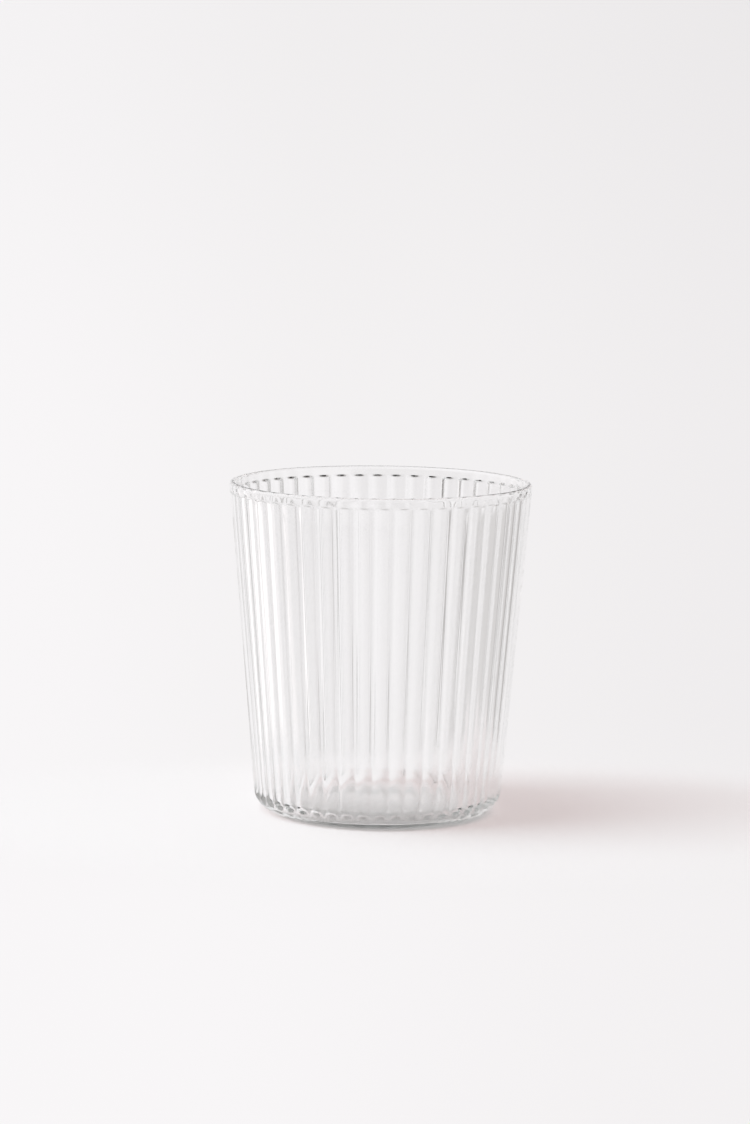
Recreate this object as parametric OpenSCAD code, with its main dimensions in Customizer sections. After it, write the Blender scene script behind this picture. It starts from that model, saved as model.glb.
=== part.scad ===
// Fluted drinking tumbler, moulded as one continuous piece of clear glass.
// Frame: +Z up, origin at the centre of the ring it stands on, millimetres.
// A straight tapered wall carries shallow flutes on its outside. They stop
// square under a plain band at the rim, and at the bottom they run out by
// themselves where the heel rounds away from the wall line.

/* [Outside] */
// Outer diameter at the rim
rim_d = 85; // [80:0.5:90]
// Overall height
height = 93; // [85:0.5:100]
// Outer diameter of the straight wall line where it would meet the table
foot_d = 69; // [66:0.5:72]
// Radius that rounds the wall into the underside
heel_r = 6.1; // [5:0.1:7]

/* [Glass thickness] */
// Thickness of the wall, measured square to it at the ridges
wall_t = 1.9; // [1.8:0.1:2.6]
// Height of the inside floor above the table, at its edge
floor_t = 2.25; // [2.1:0.05:3.5]
// Rise of the inside floor in the middle
dome = 0.8; // [0.4:0.1:1]
// Radius between the inside floor and the inside wall
corner_r = 3.6; // [3:0.1:5]

/* [Flutes] */
// Number of flutes around the wall
flute_n = 48; // [40:1:48]
// Depth of a flute below the ridges
flute_depth = 0.9; // [0.4:0.05:0.95]
// Share of the pitch that a flute takes up, the rest is the ridge
flute_share = 0.84; // [0.6:0.02:0.88]
// Height of the plain band between the rim and the flutes
rim_band = 2.4; // [2.2:0.1:5]
// Angle of the first flute from the front, towards the right
flute_turn = 1.4; // [-4:0.1:4]

/* [Underside] */
// Width of the flat ring that the glass stands on
rest_w = 2.5; // [2:0.5:5]
// Height of the hollow in the middle of the underside
punt = 1.4; // [0.6:0.1:1.5]

/* [Hidden] */
$fn = 96;

// wall line: x = foot_r + slope * z
foot_r = foot_d / 2;
slope = (rim_d / 2 - foot_r) / height;
lean = atan(slope);
wall_dx = wall_t / cos(lean);
function wall_x(z) = foot_r + slope * z;
function bore_x(z) = wall_x(z) - wall_dx;

// heel: a circle tangent to the wall line and to the table
heel_x = wall_x(heel_r) - heel_r / cos(lean);
rest_in = heel_x - rest_w;

// rim bead: a full round between the two wall lines
bead_r = wall_t / 2;
bead_z = height - bead_r;
bead_x = wall_x(bead_z) - bead_r / cos(lean);

// inside corner: a circle tangent to the inside wall line and to the floor
corner_z = floor_t + corner_r;
corner_x = bore_x(corner_z) - corner_r / cos(lean);

// inside floor: a shallow spherical cap that leaves a narrow flat edge
dome_x = corner_x - 1.2;
dome_r = (dome_x * dome_x + dome * dome) / (2 * dome);

// underside hollow: a spherical cap as high as punt
punt_r = (rest_in * rest_in + punt * punt) / (2 * punt);

// flute: a cone that lies along the wall, wider towards the rim
function pitch(z) = 2 * PI * wall_x(z) / flute_n;
function groove_r(z) =
    let (c = flute_share * pitch(z)) c * c / (8 * flute_depth) + flute_depth / 2;
z_lo = -3;
z_hi = height - rim_band;
r_lo = groove_r(z_lo);
r_hi = groove_r(z_hi);
function groove_x(z) = wall_x(z) - flute_depth / cos(lean) + groove_r(z) / cos(lean);
axis_dx = groove_x(z_hi) - groove_x(z_lo);
axis_dz = z_hi - z_lo;
axis_lean = atan2(axis_dx, axis_dz);
axis_len = norm([axis_dx, axis_dz]);

// one quarter turn of a circle, as points from angle a to angle b
function arc(x, z, r, a, b, n) =
    [for (i = [0:n]) [x + r * cos(a + (b - a) * i / n), z + r * sin(a + (b - a) * i / n)]];

// outside of the glass without flutes, filled to the axis
module outside() {
    rotate_extrude()
        intersection() {
            union() {
                polygon([
                    [0, 0], [heel_x, 0],
                    [heel_x + heel_r * cos(lean), heel_r - heel_r * sin(lean)],
                    [bead_x + bead_r * cos(lean), bead_z - bead_r * sin(lean)],
                    [0, bead_z - bead_r * sin(lean)]
                ]);
                translate([heel_x, heel_r]) circle(r = heel_r);
                translate([bead_x, bead_z]) circle(r = bead_r);
            }
            square([rim_d, height + 1]);
        }
}

// the space inside, up past the rim
module inside() {
    difference() {
        rotate_extrude()
            intersection() {
                union() {
                    polygon([
                        [0, floor_t], [corner_x, floor_t],
                        [corner_x + corner_r * cos(lean), corner_z - corner_r * sin(lean)],
                        [bead_x - bead_r * cos(lean), bead_z + bead_r * sin(lean)],
                        [bead_x - bead_r * cos(lean), height + 5],
                        [0, height + 5]
                    ]);
                    translate([corner_x, corner_z]) circle(r = corner_r);
                }
                square([rim_d, height + 5]);
            }
        translate([0, 0, floor_t + dome - dome_r]) sphere(r = dome_r);
    }
}

// one flute, cut square at its upper end
module flute() {
    translate([groove_x(z_lo), 0, z_lo])
        rotate([0, axis_lean, 0])
            cylinder(h = axis_len, r1 = r_lo, r2 = r_hi);
}

module tumbler() {
    color([0.90, 0.93, 0.93, 0.45])
        difference() {
            outside();
            inside();
            translate([0, 0, punt - punt_r]) sphere(r = punt_r);
            for (i = [0:flute_n - 1])
                rotate([0, 0, -90 + flute_turn + 360 * i / flute_n]) flute();
        }
}

tumbler();
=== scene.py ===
import math

import bmesh
import bpy
import numpy as np
from mathutils import Matrix, Vector


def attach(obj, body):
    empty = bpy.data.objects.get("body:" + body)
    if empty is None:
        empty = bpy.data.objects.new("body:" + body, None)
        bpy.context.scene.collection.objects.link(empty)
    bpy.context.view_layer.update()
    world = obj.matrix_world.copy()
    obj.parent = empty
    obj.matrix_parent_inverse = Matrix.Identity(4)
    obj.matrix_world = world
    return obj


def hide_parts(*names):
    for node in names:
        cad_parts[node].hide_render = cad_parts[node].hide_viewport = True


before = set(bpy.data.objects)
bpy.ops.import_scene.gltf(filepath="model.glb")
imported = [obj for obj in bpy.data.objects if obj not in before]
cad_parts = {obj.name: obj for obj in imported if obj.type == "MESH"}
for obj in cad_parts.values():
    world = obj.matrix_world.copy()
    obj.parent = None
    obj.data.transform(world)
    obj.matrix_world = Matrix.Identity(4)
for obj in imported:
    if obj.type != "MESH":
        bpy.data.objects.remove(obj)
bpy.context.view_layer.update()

sc = bpy.context.scene

# ------------------------------------------------------------------ measures
# millimetres, the frame of the CAD model: +Z up, origin in the table plane
HEIGHT = 93.0        # foot to top of the rim bead
RIM_R = 42.5         # outer radius of the wall line at the rim
FOOT_R = 34.5        # outer radius of the wall line at the table
HEEL_R = 6.1         # radius that rounds the wall into the underside
WALL = 1.9           # wall thickness at the ridges
FLOOR = 2.25         # inside floor above the table, at its edge
DOME = 0.8           # rise of the inside floor in the middle
CORNER_R = 3.6       # inside radius between floor and wall
PUNT = 1.4           # rise of the underside in the middle
RING = 2.5           # width of the flat resting ring
FLUTES = 48
FLUTE_TURN = 1.4     # degrees, first flute centre from the front
DEPTH = 0.90         # flute depth below the ridges
VALLEY = 1.00        # share of the half pitch taken up by the rounded bottom of a flute
CREST = 0.22         # and by the rounded ridge
BAND = 2.4           # plain band between the rim and the flutes
TOP_RUN = 0.95       # length over which a flute starts under the band
TOP_ARCH = 0.0       # rise of the start of a flute in its middle
LOW_END = 2.4        # height where the flutes have died out on the heel
LOW_RUN = 2.4        # length over which they die out
RIM_WAVE = 0.10      # waviness that the flutes leave in the rim
WANDER = 0.03        # unevenness of the inside wall

COLS = 18            # columns of the mesh per flute
TIGHT = 0.35         # how much the columns gather at the ridges


def sstep(x):
    x = np.clip(x, 0, 1)
    return x * x * (3 - 2 * x)


def flute_section():
    """Depth share over u, the distance from the flute centre in half pitches: a rounded bottom, a nearly straight flank and a rounded ridge."""
    u = np.linspace(0, 1, 4001)
    g = np.sin(np.clip(u / VALLEY, 0, 1) * math.pi / 2) * np.sin(np.clip((1 - u) / CREST, 0, 1) * math.pi / 2)
    c = np.concatenate([[0], np.cumsum((g[1:] + g[:-1]) / 2 * (u[1] - u[0]))])
    f = 1 - c / c[-1]
    return lambda x: np.interp(np.abs(x), u, f)


def soft_min(a, b, k):
    h = np.clip(0.5 + 0.5 * (b - a) / k, 0, 1)
    return b * (1 - h) + a * h - k * h * (1 - h)


def glass_mesh(name):
    slope = (RIM_R - FOOT_R) / HEIGHT
    lean = math.atan(slope)
    ca, sa = math.cos(lean), math.sin(lean)
    bead = WALL / 2
    turn = math.radians(FLUTE_TURN)

    s = np.arange(COLS) / COLS * 2 - 1
    u = s * (1 - TIGHT) + TIGHT * np.sign(s) * (1 - (1 - np.abs(s)) ** 2)
    th = np.concatenate([(k + u / 2) * 2 * math.pi / FLUTES for k in range(FLUTES)]) + turn
    f = np.tile(flute_section()(u), FLUTES)
    wave = 0.5 * np.cos((th - turn) * FLUTES)
    one = np.ones(FLUTES * COLS)
    rim_wave = RIM_WAVE * wave

    def wall(z):
        return FOOT_R + slope * z

    def bore(z):
        return wall(z) - WALL / ca

    def wander(z):
        a = np.sin(3 * th + 0.05 * z + 0.7) + np.sin(7 * th - 0.11 * z + 2.1) + 0.7 * np.sin(11 * th + 0.17 * z + 4.0)
        return WANDER * a / 2.7

    rows = []
    # inside floor, slightly domed
    z0 = FLOOR + CORNER_R
    xc = bore(z0) - CORNER_R / ca
    n = 7
    for k in range(1, n):
        r = xc * k / n
        rows.append((one * r, one * (FLOOR + DOME * (1 - (r / xc) ** 2) ** 2)))
    # inside corner
    n = 16
    for k in range(n + 1):
        a = -math.pi / 2 + (math.pi / 2 - lean) * k / n
        rows.append((one * (xc + CORNER_R * math.cos(a)), one * (z0 + CORNER_R * math.sin(a))))
    # inside wall
    za = z0 - CORNER_R * sa
    zc = HEIGHT - bead
    xr = wall(zc) - bead / ca
    zb = zc + bead * sa
    n = 12
    for k in range(1, n):
        z = za + (zb - za) * k / n
        d = rim_wave * sstep((z - (zb - 8)) / 8) + wander(z) * sstep((z - za) / 8) * sstep((zb - z) / 8)
        rows.append((one * bore(z) - d, one * z))
    # rim bead
    n = 12
    for k in range(n + 1):
        a = math.pi - lean - math.pi * k / n
        rows.append((one * (xr + bead * math.cos(a)) - rim_wave, one * (zc + bead * math.sin(a))))
    # outside wall and heel, with the flutes sunk into it
    zo = zc - bead * sa
    zt = HEIGHT - BAND
    hx = wall(HEEL_R) - HEEL_R / ca
    zh = HEEL_R - HEEL_R * sa
    zs = list(np.linspace(zo, zt + 0.05, 3)[1:])
    zs += list(np.linspace(zt + 0.05, zt - TOP_RUN - TOP_ARCH - 0.05, 12)[1:])
    zs += list(np.linspace(zt - TOP_RUN - TOP_ARCH - 0.05, zh + 1.0, 7)[1:])
    zs += list(np.linspace(zh + 1.0, zh, 3)[1:])
    plain = [(wall(z), z) for z in zs]
    n = 26
    for k in range(1, n + 1):
        a = -lean - (math.pi / 2 - lean) * k / n
        plain.append((hx + HEEL_R * math.cos(a), HEEL_R + HEEL_R * math.sin(a)))
    for r, z in plain:
        g = sstep((zt - TOP_ARCH * (1 - f) - z) / TOP_RUN) * sstep((z - LOW_END) / LOW_RUN)
        groove = wall(z) - DEPTH * f * g / ca
        if z < zh + 0.5:
            groove = np.where(g > 0, soft_min(one * r, groove, 0.45), one * r)
        rows.append((np.minimum(groove, r) - rim_wave * sstep((z - (zt - 6)) / 6), one * z))
    # resting ring and the hollow underside
    rr = hx - RING
    rows.append((one * (hx - RING / 2), 0 * one))
    rows.append((one * rr, 0 * one))
    n = 6
    for k in range(1, n):
        r = rr * (1 - k / n)
        rows.append((one * r, one * PUNT * (1 - (r / rr) ** 2)))

    v = [(0, 0, FLOOR + DOME)]
    faces, at = [], []
    c = FLUTES * COLS
    for r, z in rows:
        at.append(len(v))
        v.extend(zip(r * np.sin(th), -r * np.cos(th), z))
    last = len(v)
    v.append((0, 0, PUNT))
    for j in range(c):
        faces.append((0, at[0] + j, at[0] + (j + 1) % c))
    for a, b in zip(at[:-1], at[1:]):
        for j in range(c):
            k = (j + 1) % c
            faces.append((a + j, b + j, b + k, a + k))
    for j in range(c):
        faces.append((at[-1] + (j + 1) % c, at[-1] + j, last))
    me = bpy.data.meshes.new(name)
    me.from_pydata((np.array(v) * 0.001).tolist(), [], faces)
    me.update()
    bm = bmesh.new()
    bm.from_mesh(me)
    bmesh.ops.recalc_face_normals(bm, faces=bm.faces[:])
    bm.to_mesh(me)
    bm.free()
    for p in me.polygons:
        p.use_smooth = True
    ob = bpy.data.objects.new(name, me)
    sc.collection.objects.link(ob)
    return ob


# ------------------------------------------------------------------ glass
def glass_material():
    m = bpy.data.materials.new("clear_glass")
    m.use_nodes = True
    nt = m.node_tree
    b = nt.nodes["Principled BSDF"]
    b.inputs["Base Color"].default_value = (1, 1, 1, 1)
    b.inputs["IOR"].default_value = 1.5
    b.inputs["Transmission Weight"].default_value = 1.0
    # fire-polished skin: almost perfectly smooth, with faint patches of wipe haze
    tc = nt.nodes.new("ShaderNodeTexCoord")
    mp = nt.nodes.new("ShaderNodeMapping")
    mp.inputs["Scale"].default_value = (60, 60, 22)
    nz = nt.nodes.new("ShaderNodeTexNoise")
    nz.inputs["Scale"].default_value = 1.0
    nz.inputs["Detail"].default_value = 4.0
    mr = nt.nodes.new("ShaderNodeMapRange")
    mr.inputs["From Min"].default_value = 0.45
    mr.inputs["From Max"].default_value = 0.75
    mr.inputs["To Min"].default_value = 0.0
    mr.inputs["To Max"].default_value = 0.02
    nt.links.new(tc.outputs["Object"], mp.inputs["Vector"])
    nt.links.new(mp.outputs["Vector"], nz.inputs["Vector"])
    nt.links.new(nz.outputs["Fac"], mr.inputs["Value"])
    nt.links.new(mr.outputs["Result"], b.inputs["Roughness"])
    # faint green of ordinary soda glass, seen only through the thick foot
    va = nt.nodes.new("ShaderNodeVolumeAbsorption")
    va.inputs["Color"].default_value = (0.83, 0.875, 0.86, 1)
    va.inputs["Density"].default_value = 12.0
    nt.links.new(va.outputs["Volume"], nt.nodes["Material Output"].inputs["Volume"])
    return m


glass = glass_mesh("glass_body")
glass.data.materials.append(glass_material())
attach(glass, "root")
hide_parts("tumbler")


# ------------------------------------------------------------------ floor
FLOOR_AT = (0.012, -0.010)     # metres, centre of the lit patch of floor
FLOOR_HALF = (0.105, 0.062)   # its half widths, past which it melts into the surroundings
FLOOR_GONE = 1.6              # in half widths, where it is gone
UNDER = (0.54, 0.585, 0.59)   # colour of the shaded floor under the foot
BEHIND = (0.90, 0.945, 0.955)  # colour of the floor under the back of the foot, which light through the glass reaches
BEHIND_R = (0.016, 0.036)      # metres, where that gives way to the open floor
UNDER_AT = (0.0015, -0.0025)  # metres, its middle
UNDER_R = (0.0280, 0.0325)    # metres, where it gives way to the open floor
UNDER_Y = (-0.020, 0.024)     # the shade thins out from the front to the back


def floor_disc():
    c = 96
    (cx, cy), (hx, hy) = FLOOR_AT, FLOOR_HALF
    rings = [0.4, 0.8, 1.2, FLOOR_GONE * 1.04]
    v, faces, at = [(cx, cy, -0.00006)], [], []
    for r in rings:
        at.append(len(v))
        v += [(cx + r * hx * math.cos(2 * math.pi * k / c), cy + r * hy * math.sin(2 * math.pi * k / c), -0.00006) for k in range(c)]
    for j in range(c):
        faces.append((0, at[0] + j, at[0] + (j + 1) % c))
    for a, b in zip(at[:-1], at[1:]):
        for j in range(c):
            faces.append((a + j, b + j, b + (j + 1) % c, a + (j + 1) % c))
    me = bpy.data.meshes.new("floor")
    me.from_pydata(v, [], faces)
    me.update()
    o = bpy.data.objects.new("floor", me)
    sc.collection.objects.link(o)
    m = bpy.data.materials.new("floor")
    m.use_nodes = True
    nt = m.node_tree
    b = nt.nodes["Principled BSDF"]
    b.inputs["Roughness"].default_value = 0.9
    b.inputs["Specular IOR Level"].default_value = 0.0
    tr = nt.nodes.new("ShaderNodeBsdfTransparent")
    mx = nt.nodes.new("ShaderNodeMixShader")
    tc = nt.nodes.new("ShaderNodeTexCoord")
    mp = nt.nodes.new("ShaderNodeMapping")
    mp.vector_type = "TEXTURE"
    mp.inputs["Location"].default_value = (cx, cy, 0)
    mp.inputs["Scale"].default_value = (hx, hy, 1)
    ln = nt.nodes.new("ShaderNodeVectorMath")
    ln.operation = "LENGTH"
    mr = nt.nodes.new("ShaderNodeMapRange")
    mr.interpolation_type = "SMOOTHSTEP"
    mr.inputs["From Min"].default_value = 1.0
    mr.inputs["From Max"].default_value = FLOOR_GONE
    # little light gets in under the foot
    ln2 = nt.nodes.new("ShaderNodeVectorMath")
    ln2.operation = "LENGTH"
    mr2 = nt.nodes.new("ShaderNodeMapRange")
    mr2.interpolation_type = "SMOOTHSTEP"
    mr2.inputs["From Min"].default_value = UNDER_R[0]
    mr2.inputs["From Max"].default_value = UNDER_R[1]
    mc = nt.nodes.new("ShaderNodeMix")
    mc.data_type = "RGBA"
    mc.inputs[6].default_value = (*UNDER, 1)
    mb = nt.nodes.new("ShaderNodeMix")
    mb.data_type = "RGBA"
    mb.inputs[6].default_value = (*BEHIND, 1)
    mb.inputs[7].default_value = (0.86, 0.855, 0.865, 1)
    mr3 = nt.nodes.new("ShaderNodeMapRange")
    mr3.interpolation_type = "SMOOTHSTEP"
    mr3.inputs["From Min"].default_value = BEHIND_R[0]
    mr3.inputs["From Max"].default_value = BEHIND_R[1]
    nt.links.new(ln2.outputs["Value"], mr3.inputs["Value"])
    nt.links.new(mr3.outputs["Result"], mb.inputs["Factor"])
    nt.links.new(mb.outputs[2], mc.inputs[7])
    sh = nt.nodes.new("ShaderNodeVectorMath")
    sh.operation = "SUBTRACT"
    sh.inputs[1].default_value = (*UNDER_AT, 0)
    nt.links.new(tc.outputs["Object"], sh.inputs[0])
    nt.links.new(sh.outputs["Vector"], ln2.inputs[0])
    nt.links.new(ln2.outputs["Value"], mr2.inputs["Value"])
    sp = nt.nodes.new("ShaderNodeSeparateXYZ")
    my = nt.nodes.new("ShaderNodeMapRange")
    my.inputs["From Min"].default_value = UNDER_Y[0]
    my.inputs["From Max"].default_value = UNDER_Y[1]
    mm = nt.nodes.new("ShaderNodeMath")
    mm.operation = "MAXIMUM"
    nt.links.new(tc.outputs["Object"], sp.inputs[0])
    nt.links.new(sp.outputs["Y"], my.inputs["Value"])
    nt.links.new(my.outputs["Result"], mm.inputs[0])
    nt.links.new(mr2.outputs["Result"], mm.inputs[1])
    nt.links.new(mm.outputs[0], mc.inputs["Factor"])
    nt.links.new(mc.outputs[2], b.inputs["Base Color"])
    nt.links.new(tc.outputs["Object"], mp.inputs["Vector"])
    nt.links.new(mp.outputs["Vector"], ln.inputs[0])
    nt.links.new(ln.outputs["Value"], mr.inputs["Value"])
    nt.links.new(mr.outputs["Result"], mx.inputs[0])
    nt.links.new(b.outputs[0], mx.inputs[1])
    nt.links.new(tr.outputs[0], mx.inputs[2])
    nt.links.new(mx.outputs[0], nt.nodes["Material Output"].inputs["Surface"])
    me.materials.append(m)
    return o


floor_disc()


# ------------------------------------------------------------------ surroundings
def surroundings():
    w = bpy.data.worlds.new("studio")
    sc.world = w
    w.use_nodes = True
    nt = w.node_tree
    bg = nt.nodes["Background"]
    tc = nt.nodes.new("ShaderNodeTexCoord")
    sep = nt.nodes.new("ShaderNodeSeparateXYZ")
    nt.links.new(tc.outputs["Generated"], sep.inputs[0])

    def op(kind, a, b=None):
        n = nt.nodes.new("ShaderNodeMath")
        n.operation = kind
        for i, x in enumerate((a, b)):
            if x is None:
                continue
            if isinstance(x, (int, float)):
                n.inputs[i].default_value = x
            else:
                nt.links.new(x, n.inputs[i])
        return n.outputs[0]

    # degrees: azimuth 0 is straight behind the glass, + to the right
    az = op("MULTIPLY", op("ARCTAN2", sep.outputs["X"], sep.outputs["Y"]), 180 / math.pi)
    el = op("MULTIPLY", op("ARCSINE", sep.outputs["Z"]), 180 / math.pi)

    def step(sock, centre, half):
        mr = nt.nodes.new("ShaderNodeMapRange")
        mr.interpolation_type = "SMOOTHSTEP"
        mr.inputs["From Min"].default_value = centre - half
        mr.inputs["From Max"].default_value = centre + half
        nt.links.new(sock, mr.inputs["Value"])
        return mr.outputs["Result"]

    def mix(fac, a, b):
        mx = nt.nodes.new("ShaderNodeMix")
        mx.data_type = "RGBA"
        nt.links.new(fac, mx.inputs["Factor"])
        for i, x in ((6, a), (7, b)):
            if isinstance(x, tuple):
                mx.inputs[i].default_value = (*x, 1)
            else:
                nt.links.new(x, mx.inputs[i])
        return mx.outputs[2]

    def around(first, *steps):
        col = first
        for a, half, c in steps:
            col = mix(step(az, a, half), col, c)
        return col

    # pale sweep behind the glass, a little brighter to the left and below
    def sweep(k):
        left = tuple(k * x for x in (0.938, 0.922, 0.930))
        mid = tuple(k * x for x in (0.898, 0.882, 0.886))
        right = tuple(k * x for x in (0.864, 0.846, 0.852))
        return mix(step(az, 3.0, 3.0), mix(step(az, -3.0, 3.0), left, mid), right)

    low_front = (0.18, 0.165, 0.16)
    low_front_l = (0.30, 0.28, 0.275)
    low_side_l = (0.34, 0.32, 0.315)
    low_left = (1.16, 1.12, 1.125)
    low_right = (0.46, 0.44, 0.435)
    low_side_r = (0.66, 0.64, 0.635)
    pale = (0.925, 0.908, 0.916)

    def walls(middle):
        return around(low_front, (-150, 15, low_front_l), (-122, 8, low_side_l), (-103, 4, pale), (-79, 4, low_left), (-39, 4, middle),
                      (31.5, 6, low_right), (54, 8, low_side_r), (113, 8, pale), (158, 8, low_front))

    front = mix(step(az, 1.0, 5.0), (0.940, 0.924, 0.932), (0.898, 0.880, 0.886))
    ground = around(pale, (-60, 40, front), (60, 40, pale))
    upper = around((0.25, 0.225, 0.215), (-130, 20, (0.95, 0.94, 0.94)), (-45, 15, (0.55, 0.535, 0.53)),
                   (40, 15, (0.40, 0.375, 0.365)), (120, 20, (0.25, 0.225, 0.215)))
    col = mix(step(el, -16.0, 1.6), ground, walls(front))
    col = mix(step(el, -11.4, 1.6), col, walls(sweep(1.0)))
    col = mix(step(el, -2.5, 4.0), col, walls(sweep(0.965)))
    col = mix(step(el, 22, 10), col, upper)
    col = mix(step(el, 62, 14), col, (0.32, 0.305, 0.295))
    nt.links.new(col, bg.inputs["Color"])


surroundings()


def aim(ob, target):
    ob.rotation_mode = "QUATERNION"
    ob.rotation_quaternion = (Vector(target) - ob.location).to_track_quat("-Z", "Y")


def key_light():
    d = bpy.data.lights.new("window", "AREA")
    d.shape = "RECTANGLE"
    d.size, d.size_y = 0.8, 1.9
    d.energy = 11.5
    d.color = (0.76, 0.957, 0.982)
    o = bpy.data.objects.new("window", d)
    sc.collection.objects.link(o)
    o.location = (-0.86, -0.15, 1.10)
    aim(o, (0, 0, 0.03))
    o.visible_glossy = False
    o.visible_transmission = False


def fill_light():
    d = bpy.data.lights.new("fill", "SUN")
    d.energy = 1.0
    d.color = (1.0, 0.795, 0.776)
    d.use_shadow = False
    o = bpy.data.objects.new("fill", d)
    sc.collection.objects.link(o)
    o.location = (0, 0, 1)
    o.visible_glossy = False
    o.visible_transmission = False


key_light()
fill_light()


# ------------------------------------------------------------------ camera
def camera():
    dist, high, yaw, pitch, roll, focal = 1.0773316, 0.2140397, -0.0013, 0.1327, 0.0119, 3865.8
    cy, sy, cp, sp, cr, sr = (f(a) for a in (yaw, pitch, roll) for f in (math.cos, math.sin))
    fwd = Vector((sy * cp, cy * cp, -sp))
    right = Vector((cy, -sy, 0))
    up = right.cross(fwd)
    m = Matrix((cr * right + sr * up, -sr * right + cr * up, -fwd)).transposed().to_4x4()
    m.translation = Vector((0, -dist, high))
    d = bpy.data.cameras.new("camera")
    d.sensor_fit = "AUTO"
    d.sensor_width = 36
    d.lens = focal * 36 / 1124
    d.clip_start, d.clip_end = 0.05, 100
    o = bpy.data.objects.new("camera", d)
    sc.collection.objects.link(o)
    o.matrix_world = m
    sc.camera = o


camera()

sc.view_settings.view_transform = "Standard"
sc.view_settings.look = "None"
sc.cycles.use_denoising = True
sc.cycles.denoising_input_passes = "RGB"
sc.cycles.max_bounces = 96
sc.cycles.transmission_bounces = 96
sc.cycles.glossy_bounces = 22
sc.cycles.transparent_max_bounces = 16
sc.cycles.caustics_refractive = True
sc.cycles.caustics_reflective = True
sc.cycles.blur_glossy = 0.0
sc.cycles.sample_clamp_indirect = 6.0
